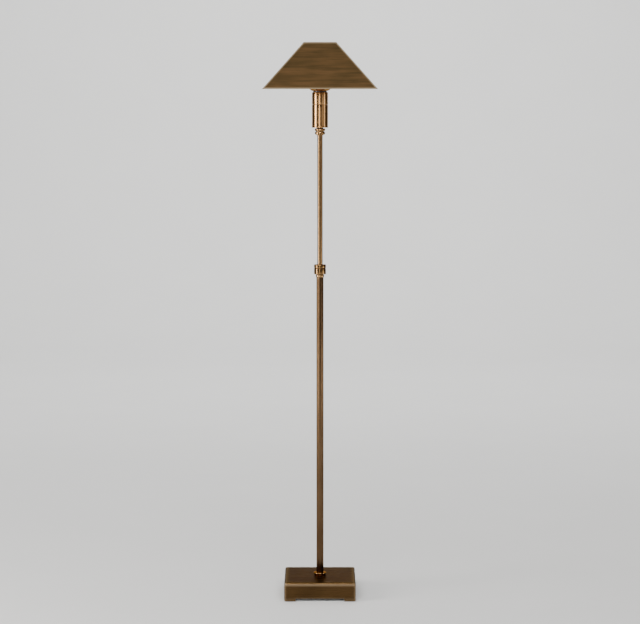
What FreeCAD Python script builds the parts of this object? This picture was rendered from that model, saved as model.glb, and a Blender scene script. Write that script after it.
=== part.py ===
"""Pharmacy floor lamp in antique brass: a square weighted base on bracket feet, a pole in two
telescoping tubes with a twist lock, a socket cup with a turning dimmer sleeve, and a square
tapered shade carried on a four-arm spider. Millimetres, +Z up, front towards -Y, with the origin
on the floor under the pole."""

import FreeCAD, Part
import Sketcher
import math
import os
import re

doc = FreeCAD.newDocument("pharmacy_floor_lamp")

# ---------------------------------------------------------------- driving dimensions
SIZES = {
    # base: a sheet brass cover over a cast iron weight
    "base_side": 170.0,
    "base_height": 46.0,
    "cover_wall": 2.0,
    "cover_corner": 5.5,
    "cover_edge": 4.2,
    "cover_lift": 1.0,
    "foot_width": 27.0,
    "apron_height": 7.5,
    "apron_curve": 3.5,
    "inner_gap": 0.5,
    "plate_thickness": 2.0,
    "plate_above_apron": 1.0,
    "pad_radius": 10.0,
    "pad_inset": 17.0,
    "screw_radius": 1.9,
    "screw_head_radius": 3.8,
    "screw_head_height": 2.4,
    "screw_head_lift": 1.6,
    "screw_grip": 12.0,
    # the way out for the mains lead, in the back of the base
    "cord_bore": 3.2,
    "bush_neck": 5.4,
    "bush_flange": 7.6,
    "bush_flange_depth": 2.0,
    "bush_flange_edge": 1.2,
    "bush_length": 9.0,
    "bush_snap": 0.7,
    "bush_level": 21.5,
    "channel_width": 20.0,
    # hollow threaded stud that pulls the pole down on the base
    "stud_radius": 5.0,
    "stud_bore": 3.3,
    "stud_tail": 2.0,
    "stud_reach": 14.0,
    "nut_across": 17.0,
    "nut_height": 8.0,
    "washer_radius": 14.0,
    "washer_thickness": 2.0,
    "nut_well_radius": 16.0,
    "nut_well_depth": 14.0,
    # lower tube of the pole
    "tube_wall": 1.25,
    "guide_wall": 0.8,
    "tube_length": 735.5,
    "plug_height": 18.0,
    "ferrule_stand": 6.5,
    "ferrule_taper": 1.4,
    "ferrule_height": 6.8,
    "ferrule_lip": 1.6,
    "ferrule_edge": 1.0,
    # twist lock at the top of the lower tube
    "top_ring_stand": 1.1,
    "top_ring_height": 5.3,
    "top_ring_gap": 1.4,
    "top_ring_edge": 0.9,
    "clamp_body_height": 14.5,
    "clamp_socket_depth": 8.0,
    "clamp_seam": 0.5,
    "clamp_nut_height": 8.4,
    "clamp_edge": 1.4,
    "clamp_neck_wall": 1.6,
    "clamp_nut_wall": 3.5,
    "clamp_neck_height": 6.0,
    "nut_cavity": 6.6,
    "collet_stand": 0.5,
    "collet_taper": 1.0,
    "collet_slot": 1.6,
    "collet_ring": 4.0,
    # upper tube, the mast
    "mast_radius": 6.35,
    "mast_wall": 1.3,
    "mast_reach": 305.8,
    "mast_hidden": 250.0,
    "guide_length": 24.0,
    "guide_tail": 6.0,
    "clip_thickness": 1.2,
    "clip_depth": 0.4,
    "clip_stand": 0.5,
    # double-bead spool and its washer under the socket cup
    "spool_height": 15.9,
    "spool_upper_stand": 5.95,
    "spool_lower_stand": 5.65,
    "spool_waist_stand": 2.65,
    "spool_foot_stand": 1.85,
    "spool_upper_bead": 6.3,
    "spool_waist_height": 1.2,
    "spool_lower_bead": 6.4,
    "spool_edge": 2.6,
    "neck_washer_stand": 1.05,
    "neck_washer_height": 1.9,
    # socket cup and the dimmer sleeve above it
    "cup_wall": 1.2,
    "cup_height": 53.7,
    "cup_foot_bead": 0.5,
    "cup_foot_height": 2.4,
    "cup_seam": 0.4,
    "sleeve_height": 28.7,
    "bearing_height": 9.0,
    "rotor_lift": 2.0,
    "rotor_height": 6.0,
    "rotor_wall": 1.0,
    "nipple_depth": 28.0,
    "nipple_rise": 15.0,
    "nipple_wall": 1.7,
    "lock_nut_across": 16.0,
    "lock_nut_height": 4.5,
    "cap_step": 2.0,
    "cap_height": 12.0,
    "cap_shoulder": 3.2,
    "cap_shoulder_height": 4.2,
    "module_height": 31.0,
    "terminal_radius": 2.4,
    "terminal_length": 2.2,
    # lampholder inside the sleeve
    "socket_wall": 1.8,
    "socket_shoulder": 0.8,
    "socket_rise": 10.5,
    "glass_lift": 0.6,
    "shell_radius": 13.6,
    "shell_thickness": 0.4,
    "contact_radius": 3.0,
    "contact_height": 2.6,
    # shade seat
    "neck_height": 3.3,
    "dish_sheet": 1.0,
    "dish_flare": 6.8,
    "dish_height": 5.6,
    "spider_ring_height": 2.0,
    "ring_nut_wall": 1.25,
    "ring_nut_height": 4.0,
    "arm_radius": 1.5,
    "arm_post": 9.0,
    "arm_end_gap": 0.7,
    "arm_clear": 5.0,
    # shade
    "rim_above_dish": 4.4,
    "shade_bottom": 266.0,
    "shade_top": 76.0,
    "shade_height": 109.0,
    "shade_sheet": 1.4,
    "rim_wire_radius": 1.5,
    # lamp bulb
    "bulb_radius": 24.0,
    "bulb_length": 66.0,
    "bulb_wall": 0.8,
    "bulb_cap_height": 24.0,
    "bulb_tip_radius": 4.6,
    "bulb_tip_height": 2.4,
    # clearances
    "fixed_fit": 0.05,
    "running_fit": 0.05,
    "thread_fit": 0.15,
    "open_gap": 0.35,
}

sheet = doc.addObject("Spreadsheet::Sheet", "Sizes")
for row, (alias, number) in enumerate(SIZES.items(), start=1):
    sheet.set(f"A{row}", alias)
    sheet.set(f"B{row}", str(number))
    sheet.setAlias(f"B{row}", alias)
doc.recompute()

# Sizes and heights that follow from the ones above, each from its neighbour and a clearance.
WORKED_OUT = {
    # base
    "plate_foot": "apron_height + plate_above_apron",
    "plate_top": "plate_foot + plate_thickness",
    "weight_top": "base_height - cover_wall",
    "inner_side": "base_side - 2 * cover_wall - 2 * inner_gap",
    "pad_place": "base_side / 2 - pad_inset",
    "well_ceiling": "plate_top + nut_well_depth",
    "nut_foot": "well_ceiling - washer_thickness - nut_height",
    # pole and twist lock, all fitted round the mast
    "tube_bore": "mast_radius + guide_wall + 2 * running_fit",
    "tube_radius": "tube_bore + tube_wall",
    "tube_end": "base_height + tube_length",
    "ferrule_radius": "tube_radius + ferrule_stand",
    "top_ring_radius": "tube_radius + top_ring_stand",
    "collet_radius": "tube_radius + collet_stand",
    "clamp_bore": "tube_radius + fixed_fit",
    "clamp_neck_radius": "collet_radius + clamp_neck_wall",
    "clamp_radius": "clamp_neck_radius + clamp_nut_wall",
    "clamp_foot": "tube_end - clamp_socket_depth",
    "clamp_seam_foot": "clamp_foot + clamp_body_height",
    "clamp_nut_foot": "clamp_seam_foot + clamp_seam",
    "clamp_top": "clamp_nut_foot + clamp_nut_height",
    "collet_top": "clamp_nut_foot + nut_cavity - open_gap",
    # mast and socket cup
    "mast_foot": "clamp_top - mast_hidden",
    "spool_foot": "clamp_top + mast_reach",
    "spool_top": "spool_foot + spool_height",
    "nipple_hole": "mast_radius - mast_wall",
    "nipple_radius": "nipple_hole - fixed_fit",
    "cup_foot": "spool_top + neck_washer_height",
    "sleeve_foot": "cup_foot + cup_height + cup_seam",
    "sleeve_top": "sleeve_foot + sleeve_height",
    "lock_nut_top": "cup_foot + cup_wall + lock_nut_height",
    "cap_top": "lock_nut_top + cap_height",
    "socket_thread_radius": "shell_radius + socket_wall",
    "socket_radius": "socket_thread_radius + socket_shoulder",
    "sleeve_bore": "socket_radius + open_gap + rotor_wall + fixed_fit",
    "cup_radius": "sleeve_bore + cup_wall",
    "module_radius": "sleeve_bore - terminal_length - open_gap",
    "cap_radius": "module_radius - cap_step",
    "socket_foot": "cap_top + module_height",
    "dish_foot": "sleeve_top + neck_height",
    "socket_top": "dish_foot + socket_rise",
    "bulb_neck": "socket_top + glass_lift",
    "bulb_cap_foot": "bulb_neck - bulb_cap_height",
    "contact_foot": "bulb_cap_foot - bulb_tip_height - contact_height",
    "socket_floor": "contact_foot - socket_foot",
    "bulb_cap_radius": "shell_radius - shell_thickness - open_gap",
    "bulb_centre": "bulb_neck + bulb_length - bulb_radius",
    # shade and what carries it
    "spider_foot": "dish_foot + dish_sheet",
    "ring_nut_radius": "socket_thread_radius + thread_fit + ring_nut_wall",
    "arm_place": "ring_nut_radius + open_gap + arm_radius",
    "spider_ring_radius": "arm_place + open_gap",
    "dish_flat_radius": "spider_ring_radius + running_fit + fixed_fit",
    "dish_lip_radius": "dish_flat_radius + dish_flare",
    "rim": "dish_foot + rim_above_dish",
    "shade_run": "(shade_bottom - shade_top) / 2",
    "shade_lean": "sqrt(1 + (shade_run / shade_height)^2)",
    "rim_wire_height": "rim_wire_radius",
    "top_wire_height": "shade_height - rim_wire_radius",
}

CORNERS = ((1, 1), (-1, 1), (-1, -1), (1, -1))
ALL_ROUND = 360.0
TINY = 1e-4

parts = []


# ---------------------------------------------------------------- ways of making a piece
def sized(text):
    """The same expression with each size read from the sheet."""

    def read(found):
        word = found.group()
        if word in WORKED_OUT:
            return f"({sized(WORKED_OUT[word])})"
        return f"Sizes.{word}" if word in SIZES else word

    return re.sub(r"[a-z_]+", read, text)


def bind(thing, name, text):
    thing.setExpression(name, sized(text))


def place(thing, level="0", turn=0.0):
    """Stand a piece on a level, turned about the pole."""
    axis = FreeCAD.Vector(0, 0, 1)
    thing.Placement = FreeCAD.Placement(FreeCAD.Vector(), FreeCAD.Rotation(axis, turn))
    bind(thing, ".Placement.Base.z", level)


def keep(thing, label):
    """Name a finished sub-part; its label is its file's name."""
    thing.Label = label
    parts.append(thing)
    return thing


def new_body(label, level="0", turn=0.0):
    body = keep(doc.addObject("PartDesign::Body", f"{label}_body"), label)
    body.AllowCompound = True
    place(body, level, turn)
    return body


def new_sketch(body, role, lift="0"):
    """An empty sketch on one of the body's own planes, lifted along the plane's normal."""
    sketch = body.newObject("Sketcher::SketchObject", f"{body.Label}_sketch")
    plane = next(p for p in body.Origin.OriginFeatures if p.Role == role)
    sketch.AttachmentSupport = [(plane, "")]
    sketch.MapMode = "FlatFace"
    bind(sketch, ".AttachmentOffset.Base.z", lift)
    return sketch


def fix_point(sketch, geometry, corner, across, up):
    """Hold a sketch point at two distances from the sketch's origin."""
    for kind, text in (("DistanceX", across), ("DistanceY", up)):
        sketch.addConstraint(Sketcher.Constraint(kind, -1, 1, geometry, corner, 1.0))
        bind(sketch, f"Constraints[{sketch.ConstraintCount - 1}]", text)


def value(text):
    """What an expression of sizes comes to."""
    return float(sheet.evalExpression(sized(text)))


def draw_outline(sketch, points):
    """A closed outline of straight edges through points given as pairs of expressions."""
    corners = [FreeCAD.Vector(value(across), value(up), 0) for across, up in points]
    first = sketch.GeometryCount
    count = len(points)
    for index, corner in enumerate(corners):
        sketch.addGeometry(Part.LineSegment(corner, corners[(index + 1) % count]), False)
    for index in range(count):
        following = first + (index + 1) % count
        sketch.addConstraint(Sketcher.Constraint("Coincident", first + index, 2, following, 1))
    for index, (across, up) in enumerate(points):
        fix_point(sketch, first + index, 1, across, up)


def draw_line(sketch, points):
    """An open run of straight edges."""
    corners = [FreeCAD.Vector(value(across), value(up), 0) for across, up in points]
    for start, end in zip(corners, corners[1:]):
        sketch.addGeometry(Part.LineSegment(start, end), False)
    for index in range(len(points) - 2):
        sketch.addConstraint(Sketcher.Constraint("Coincident", index, 2, index + 1, 1))
    for index, (across, up) in enumerate(points[:-1]):
        fix_point(sketch, index, 1, across, up)
    fix_point(sketch, len(points) - 2, 2, *points[-1])


def draw_circle(sketch, radius, across="0", up="0"):
    centre = FreeCAD.Vector(value(across), value(up), 0)
    axis = FreeCAD.Vector(0, 0, 1)
    index = sketch.addGeometry(Part.Circle(centre, axis, value(radius)), False)
    fix_point(sketch, index, 3, across, up)
    sketch.addConstraint(Sketcher.Constraint("Radius", index, value(radius)))
    bind(sketch, f"Constraints[{sketch.ConstraintCount - 1}]", radius)


def square(half):
    return [(f"({half}) * {x}", f"({half}) * {y}") for x, y in CORNERS]


def hexagon(across_flats):
    turns = [math.radians(60 * step) for step in range(6)]
    reach = f"{across_flats} / sqrt(3)"
    return [(f"{reach} * ({math.cos(a):.9f})", f"{reach} * ({math.sin(a):.9f})") for a in turns]


def add_feature(body, kind, sketch, **settings):
    feature = body.newObject(f"PartDesign::{kind}", f"{body.Label}_{kind}")
    feature.Profile = sketch
    for name, setting in settings.items():
        setattr(feature, name, setting)
    return feature


def pad(body, sketch, height):
    feature = add_feature(body, "Pad", sketch)
    bind(feature, "Length", height)
    doc.recompute()
    return feature


def cut(body, sketch, depth=None, **settings):
    """Take a sketch's shape away, to a depth or all through, and see that it bites."""
    before = body.Shape.Volume
    feature = add_feature(body, "Pocket", sketch, **settings)
    if depth is None:
        feature.Type = "ThroughAll"
    else:
        bind(feature, "Length", depth)
    doc.recompute()
    if body.Shape.Volume > before - TINY:
        raise ValueError(f"{feature.Label} takes nothing away")
    return feature


def dress(body, kind, size_name, size, chosen):
    """Fillet or chamfer those edges of the body so far that the test picks."""
    doc.recompute()
    base = body.Tip
    names = [f"Edge{n}" for n, edge in enumerate(base.Shape.Edges, start=1) if chosen(edge)]
    if not names:
        raise ValueError(f"no edge to dress on {body.Label}")
    feature = body.newObject(f"PartDesign::{kind}", f"{body.Label}_{kind}")
    feature.Base = (base, names)
    bind(feature, size_name, size)
    doc.recompute()
    return feature


def ends(edge):
    return [vertex.Point for vertex in edge.Vertexes]


def is_upright(edge):
    tops = ends(edge)
    return len(tops) == 2 and (tops[0] - tops[1]).cross(FreeCAD.Vector(0, 0, 1)).Length < TINY


def lies_at(level):
    """A test for the edges that lie at one level of the body's own frame."""
    height = value(level)
    return lambda edge: all(abs(point.z - height) < TINY for point in ends(edge))


def is_rim(radius, level):
    """A test for the round edge of one radius at one level of a turned piece."""
    wanted, height = value(radius), value(level)

    def chosen(edge):
        curve = edge.Curve
        if not isinstance(curve, Part.Circle) or abs(curve.Center.z - height) > TINY:
            return False
        return abs(curve.Radius - wanted) < TINY

    return chosen


def any_of(*tests):
    return lambda edge: any(test(edge) for test in tests)


def turned(label, level, points):
    """A piece turned on the pole's axis from an outline of radius and height."""
    body = new_body(label, level)
    sketch = new_sketch(body, "XZ_Plane")
    draw_outline(sketch, points)
    axis = (sketch, ["V_Axis"])
    add_feature(body, "Revolution", sketch, ReferenceAxis=axis, Angle=ALL_ROUND)
    doc.recompute()
    return body


def ring(label, level, bore, radius, height):
    """A plain turned ring or tube."""
    outline = [(bore, "0"), (radius, "0"), (radius, height), (bore, height)]
    return turned(label, level, outline)


def cylinder(name, radius, height):
    piece = doc.addObject("Part::Cylinder", name)
    bind(piece, "Radius", radius)
    bind(piece, "Height", height)
    return piece


def joined(kind, name, pieces):
    whole = doc.addObject(kind, name)
    if kind == "Part::Cut":
        whole.Base, whole.Tool = pieces
    elif kind == "Part::Compound":
        whole.Links = pieces
    else:
        whole.Shapes = pieces
    return whole


# ---------------------------------------------------------------- base
def corner_circles(body, radius, lift="0"):
    """A sketch of four circles, one over each foot pad."""
    sketch = new_sketch(body, "XY_Plane", lift)
    for x, y in CORNERS:
        draw_circle(sketch, radius, f"pad_place * {x}", f"pad_place * {y}")
    return sketch


def hollow(body, is_open):
    """Hollows the block to the cover's wall, leaving off the faces that are open."""
    shell = body.newObject("PartDesign::Thickness", f"{body.Name}_shell")
    block = shell.BaseFeature
    faces = enumerate(block.Shape.Faces, start=1)
    shell.Base = (block, [f"Face{n}" for n, face in faces if is_open(face.BoundBox)])
    shell.Reversed = True
    bind(shell, "Value", "cover_wall")
    doc.recompute()


def make_base_cover():
    """A sheet brass box, open below, that stands on the bracket feet."""
    body = new_body("base_cover", "apron_height")
    height = "base_height - apron_height"
    sketch = new_sketch(body, "XY_Plane")
    draw_outline(sketch, square("base_side / 2"))
    pad(body, sketch, height)
    dress(body, "Fillet", "Radius", "cover_corner", is_upright)
    dress(body, "Fillet", "Radius", "cover_edge", lies_at(height))
    hollow(body, lambda box: box.ZMax < TINY)

    sketch = new_sketch(body, "XY_Plane")
    draw_circle(sketch, "stud_radius + fixed_fit")
    cut(body, sketch, Reversed=True)
    sketch = new_sketch(body, "XZ_Plane")
    draw_circle(sketch, "bush_neck + fixed_fit", "0", "bush_level - apron_height")
    cut(body, sketch)


def make_base_feet():
    """Four bracket feet of the same sheet, brazed flush under the cover's corners."""
    body = new_body("base_feet", "cover_lift")
    apron = "apron_height - cover_lift"
    blank = f"{apron} + apron_curve"
    sketch = new_sketch(body, "XY_Plane")
    draw_outline(sketch, square("base_side / 2"))
    pad(body, sketch, blank)
    dress(body, "Fillet", "Radius", "cover_corner", is_upright)
    blank_height = value(blank)
    hollow(body, lambda box: box.ZMax < TINY or box.ZMin > blank_height - TINY)

    half = "base_side / 2 - foot_width"
    below = "-cover_wall"
    opening = [(f"-({half})", below), (half, below), (half, apron), (f"-({half})", apron)]
    for role in ("XZ_Plane", "YZ_Plane"):
        sketch = new_sketch(body, role)
        draw_outline(sketch, opening)
        cut(body, sketch, SideType="Symmetric")

    def is_bracket(edge):
        run = ends(edge)[0] - ends(edge)[-1]
        return lies_at(apron)(edge) and abs(run.Length - value("cover_wall")) < TINY

    dress(body, "Fillet", "Radius", "apron_curve", is_bracket)
    sketch = new_sketch(body, "XY_Plane", apron)
    draw_outline(sketch, square("base_side / 2 + cover_wall"))
    cut(body, sketch, Reversed=True)


def make_base_weight():
    """A cast iron block with a well for the stud's nut and a channel for the lead."""
    height = "weight_top - plate_top"
    body = new_body("base_weight", "plate_top")
    sketch = new_sketch(body, "XY_Plane")
    draw_outline(sketch, square("inner_side / 2"))
    pad(body, sketch, height)
    dress(body, "Fillet", "Radius", "cover_corner", is_upright)
    dress(body, "Chamfer", "Size", "cover_edge", lies_at(height))

    sketch = new_sketch(body, "XY_Plane")
    draw_circle(sketch, "nut_well_radius")
    cut(body, sketch, "nut_well_depth", Reversed=True)
    sketch = new_sketch(body, "XY_Plane")
    draw_circle(sketch, "stud_radius + fixed_fit")
    cut(body, sketch, Reversed=True)

    half = "channel_width / 2"
    back = "base_side / 2"
    sketch = new_sketch(body, "XY_Plane")
    draw_outline(sketch, [(f"-({half})", "0"), (half, "0"), (half, back), (f"-({half})", back)])
    depth = "bush_level + bush_flange + inner_gap - plate_top"
    cut(body, sketch, depth, Reversed=True)

    sketch = corner_circles(body, "screw_radius + fixed_fit")
    cut(body, sketch, "screw_grip + inner_gap", Reversed=True)


def make_base_plate():
    """A steel plate that closes the base from below, inside the skirt."""
    body = new_body("base_plate", "plate_foot")
    sketch = new_sketch(body, "XY_Plane")
    draw_outline(sketch, square("inner_side / 2"))
    pad(body, sketch, "plate_thickness")
    dress(body, "Fillet", "Radius", "cover_corner", is_upright)
    sketch = corner_circles(body, "screw_radius + open_gap")
    cut(body, sketch, Reversed=True)


def make_foot_pads():
    """Four rubber pads, each with a screw recess, which the lamp stands on."""
    body = new_body("foot_pads")
    pad(body, corner_circles(body, "pad_radius"), "plate_foot")
    head_top = "screw_head_lift + screw_head_height"
    for radius, depth in (
        ("screw_head_radius + open_gap", head_top),
        ("screw_radius + open_gap", "plate_foot"),
    ):
        cut(body, corner_circles(body, radius), depth, Reversed=True)


def make_pad_screws():
    """Pan-head screws through the pads and the plate into the weight."""
    body = new_body("pad_screws")
    head = corner_circles(body, "screw_head_radius", "screw_head_lift")
    pad(body, head, "screw_head_height")
    neck = "screw_head_lift + screw_head_height"
    shank = corner_circles(body, "screw_radius", neck)
    pad(body, shank, f"plate_top + screw_grip - ({neck})")


def make_cord_bush():
    """A black snap-in bush in the back wall; its axis points out of the back."""
    inner_end = "-(bush_length - bush_flange_depth)"
    lip = "bush_neck + bush_snap"
    body = turned(
        "cord_bush",
        "bush_level",
        [
            ("cord_bore", inner_end),
            ("bush_neck", inner_end),
            (lip, "-(cover_wall + 2 * bush_snap)"),
            (lip, "-(cover_wall + fixed_fit)"),
            ("bush_neck", "-(cover_wall + fixed_fit)"),
            ("bush_neck", "0"),
            ("bush_flange", "0"),
            ("bush_flange", "bush_flange_depth"),
            ("cord_bore", "bush_flange_depth"),
        ],
    )
    face = is_rim("bush_flange", "bush_flange_depth")
    dress(body, "Fillet", "Radius", "bush_flange_edge", face)
    body.Placement.Rotation = FreeCAD.Rotation(FreeCAD.Vector(1, 0, 0), -90)
    bind(body, ".Placement.Base.y", "base_side / 2")


def make_base_fixings():
    """The hollow stud with its washer and nut, and the plug it screws into in the tube's foot."""
    stud_foot = "nut_foot - stud_tail"
    stud_height = f"base_height + stud_reach - ({stud_foot})"
    ring("base_stud", stud_foot, "stud_bore", "stud_radius", stud_height)
    washer_foot = "well_ceiling - washer_thickness"
    stud_hole = "stud_radius + fixed_fit"
    ring("stud_washer", washer_foot, stud_hole, "washer_radius", "washer_thickness")
    make_hex_nut("stud_nut", "nut_foot", "nut_across", stud_hole, "nut_height")
    ring("tube_plug", "base_height", stud_hole, "tube_bore - fixed_fit", "plug_height")


def make_hex_nut(label, level, across_flats, hole, height):
    body = new_body(label, level)
    sketch = new_sketch(body, "XY_Plane")
    draw_outline(sketch, hexagon(across_flats))
    draw_circle(sketch, hole)
    pad(body, sketch, height)


# ---------------------------------------------------------------- lower tube and twist lock
def make_lower_pole():
    ring("lower_tube", "base_height", "tube_bore", "tube_radius", "tube_length")
    outside = "tube_radius + fixed_fit"
    body = turned(
        "pole_ferrule",
        "base_height",
        [
            (outside, "0"),
            ("ferrule_radius - ferrule_taper", "0"),
            ("ferrule_radius", "ferrule_height - ferrule_lip"),
            ("ferrule_radius", "ferrule_height"),
            (outside, "ferrule_height"),
        ],
    )
    dress(body, "Fillet", "Radius", "ferrule_edge", is_rim("ferrule_radius", "ferrule_height"))
    level = "clamp_foot - top_ring_gap - top_ring_height"
    body = ring("tube_top_ring", level, outside, "top_ring_radius", "top_ring_height")
    edges = any_of(is_rim("top_ring_radius", "0"), is_rim("top_ring_radius", "top_ring_height"))
    dress(body, "Fillet", "Radius", "top_ring_edge", edges)


def make_clamp_body():
    """The fixed half of the twist lock: a socket for the tube, and a threaded neck."""
    neck_top = "clamp_body_height + clamp_neck_height"
    collet_bore = "collet_radius + fixed_fit"
    body = turned(
        "clamp_body",
        "clamp_foot",
        [
            ("clamp_bore", "0"),
            ("clamp_radius", "0"),
            ("clamp_radius", "clamp_body_height"),
            ("clamp_neck_radius", "clamp_body_height"),
            ("clamp_neck_radius", neck_top),
            (collet_bore, neck_top),
            (collet_bore, "clamp_socket_depth"),
            ("clamp_bore", "clamp_socket_depth"),
        ],
    )
    edges = any_of(is_rim("clamp_radius", "0"), is_rim("clamp_radius", "clamp_body_height"))
    dress(body, "Fillet", "Radius", "clamp_edge", edges)


def make_clamp_collet():
    """A split sleeve round the mast, which stands on the tube's end and closes on the mast."""
    height = "collet_top - tube_end"
    shoulder = "clamp_body_height + clamp_neck_height - clamp_socket_depth"
    bore = "mast_radius + running_fit"
    body = turned(
        "clamp_collet",
        "tube_end",
        [
            (bore, "0"),
            ("collet_radius", "0"),
            ("collet_radius", shoulder),
            ("collet_radius - collet_taper", height),
            (bore, height),
        ],
    )
    corner = "(collet_slot / 2)"
    arm = "(collet_radius * 2)"
    cross = []
    for x, y in CORNERS:
        inner = (f"{corner} * {x}", f"{corner} * {y}")
        on_x = (f"{arm} * {x}", f"{corner} * {y}")
        on_y = (f"{corner} * {x}", f"{arm} * {y}")
        cross += [on_x, inner, on_y] if x == y else [on_y, inner, on_x]
    sketch = new_sketch(body, "XY_Plane", "collet_ring")
    draw_outline(sketch, cross)
    cut(body, sketch, Reversed=True)


def make_clamp_nut():
    """The half of the twist lock that turns by hand."""
    body = turned(
        "clamp_nut",
        "clamp_nut_foot",
        [
            ("clamp_neck_radius + thread_fit", "0"),
            ("clamp_radius", "0"),
            ("clamp_radius", "clamp_nut_height"),
            ("mast_radius + open_gap", "clamp_nut_height"),
            ("mast_radius + open_gap", "nut_cavity"),
            ("clamp_neck_radius + thread_fit", "nut_cavity"),
        ],
    )
    edges = any_of(is_rim("clamp_radius", "0"), is_rim("clamp_radius", "clamp_nut_height"))
    dress(body, "Fillet", "Radius", "clamp_edge", edges)


# ---------------------------------------------------------------- mast
def make_mast():
    """The sliding tube, with a nylon guide held by two clips in grooves at its foot."""
    length = "mast_hidden + mast_reach + spool_height"
    floor = "mast_radius - clip_depth"
    low_groove = "guide_tail - clip_thickness"
    guide_top = "guide_tail + guide_length"
    turned(
        "mast_tube",
        "mast_foot",
        [
            ("nipple_hole", "0"),
            ("mast_radius", "0"),
            ("mast_radius", low_groove),
            (floor, low_groove),
            (floor, "guide_tail"),
            ("mast_radius", "guide_tail"),
            ("mast_radius", guide_top),
            (floor, guide_top),
            (floor, f"{guide_top} + clip_thickness"),
            ("mast_radius", f"{guide_top} + clip_thickness"),
            ("mast_radius", length),
            ("nipple_hole", length),
        ],
    )
    guide_bore = "mast_radius + running_fit"
    guide_outside = "tube_bore - running_fit"
    ring("guide_bush", "mast_foot + guide_tail", guide_bore, guide_outside, "guide_length")
    clips = new_body("bush_clips", "mast_foot")
    for lift in (low_groove, guide_top):
        sketch = new_sketch(clips, "XY_Plane", lift)
        draw_circle(sketch, "mast_radius + clip_stand")
        draw_circle(sketch, f"{floor} + fixed_fit")
        pad(clips, sketch, "clip_thickness")


def make_spool():
    """Two turned beads with a waist between, at the top of the mast."""
    foot_top = "(spool_height - spool_upper_bead - spool_waist_height - spool_lower_bead)"
    waist_foot = f"{foot_top} + spool_lower_bead"
    waist_top = f"{waist_foot} + spool_waist_height"
    bore = "mast_radius + fixed_fit"
    body = turned(
        "mast_spool",
        "spool_foot",
        [
            (bore, "0"),
            ("mast_radius + spool_foot_stand", "0"),
            ("mast_radius + spool_lower_stand", foot_top),
            ("mast_radius + spool_lower_stand", waist_foot),
            ("mast_radius + spool_waist_stand", waist_foot),
            ("mast_radius + spool_waist_stand", waist_top),
            ("mast_radius + spool_upper_stand", waist_top),
            ("mast_radius + spool_upper_stand", "spool_height"),
            (bore, "spool_height"),
        ],
    )
    edges = any_of(
        is_rim("mast_radius + spool_lower_stand", waist_foot),
        is_rim("mast_radius + spool_upper_stand", waist_top),
        is_rim("mast_radius + spool_upper_stand", "spool_height"),
    )
    dress(body, "Fillet", "Radius", "spool_edge", edges)


# ---------------------------------------------------------------- socket cup and lampholder
def make_cup():
    """The spun brass cup with its nipple, washer, lock nut and threaded cap."""
    nipple_foot = "spool_top - nipple_depth"
    nipple_height = "nipple_depth + neck_washer_height + nipple_rise"
    nipple_bore = "nipple_radius - nipple_wall"
    ring("mast_nipple", nipple_foot, nipple_bore, "nipple_radius", nipple_height)
    washer_radius = "mast_radius + neck_washer_stand"
    ring("neck_washer", "spool_top", "nipple_hole", washer_radius, "neck_washer_height")
    turned(
        "socket_cup",
        "cup_foot",
        [
            ("nipple_hole", "0"),
            ("cup_radius + cup_foot_bead", "0"),
            ("cup_radius + cup_foot_bead", "cup_foot_height"),
            ("cup_radius", "cup_foot_height + cup_foot_bead"),
            ("cup_radius", "cup_height"),
            ("sleeve_bore", "cup_height"),
            ("sleeve_bore", "cup_wall"),
            ("nipple_hole", "cup_wall"),
        ],
    )
    nut_foot = "cup_foot + cup_wall"
    make_hex_nut("cup_lock_nut", nut_foot, "lock_nut_across", "nipple_hole", "lock_nut_height")
    turned(
        "socket_cap",
        "lock_nut_top",
        [
            ("nipple_hole", "0"),
            ("cap_radius - cap_shoulder", "0"),
            ("cap_radius", "cap_shoulder_height"),
            ("cap_radius", "cap_height"),
            ("nipple_hole", "cap_height"),
        ],
    )


def make_dimmer():
    """The dimmer's potted module, and the sleeve and rotor that turn round the lampholder."""
    body = new_body("dimmer_module", "cap_top")
    sketch = new_sketch(body, "XY_Plane")
    draw_circle(sketch, "module_radius")
    pad(body, sketch, "module_height")
    screws = []
    for side, turn in ((1, 90), (-1, -90)):
        screw = cylinder("terminal_screw", "terminal_radius", "terminal_length")
        screw.Placement.Rotation = FreeCAD.Rotation(FreeCAD.Vector(0, 1, 0), turn)
        bind(screw, ".Placement.Base.x", f"{side} * module_radius")
        bind(screw, ".Placement.Base.z", "cap_top + module_height / 2")
        screws.append(screw)
    keep(joined("Part::Compound", "terminal_pair", screws), "terminal_screws")

    turned(
        "dimmer_sleeve",
        "sleeve_foot",
        [
            ("sleeve_bore", "0"),
            ("cup_radius", "0"),
            ("cup_radius", "sleeve_height"),
            ("socket_radius + open_gap", "sleeve_height"),
            ("socket_radius + open_gap", "sleeve_height - cup_wall"),
            ("sleeve_bore", "sleeve_height - cup_wall"),
        ],
    )
    rotor_bore = "socket_radius + open_gap"
    rotor_outside = "sleeve_bore - fixed_fit"
    rotor_foot = "sleeve_foot + rotor_lift"
    ring("dimmer_rotor", rotor_foot, rotor_bore, rotor_outside, "rotor_height")
    bearing_foot = "sleeve_top - cup_wall - bearing_height"
    bearing_outside = "sleeve_bore - 2 * running_fit"
    socket_hole = "socket_radius + fixed_fit"
    ring("sleeve_bearing", bearing_foot, socket_hole, bearing_outside, "bearing_height")


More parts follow.
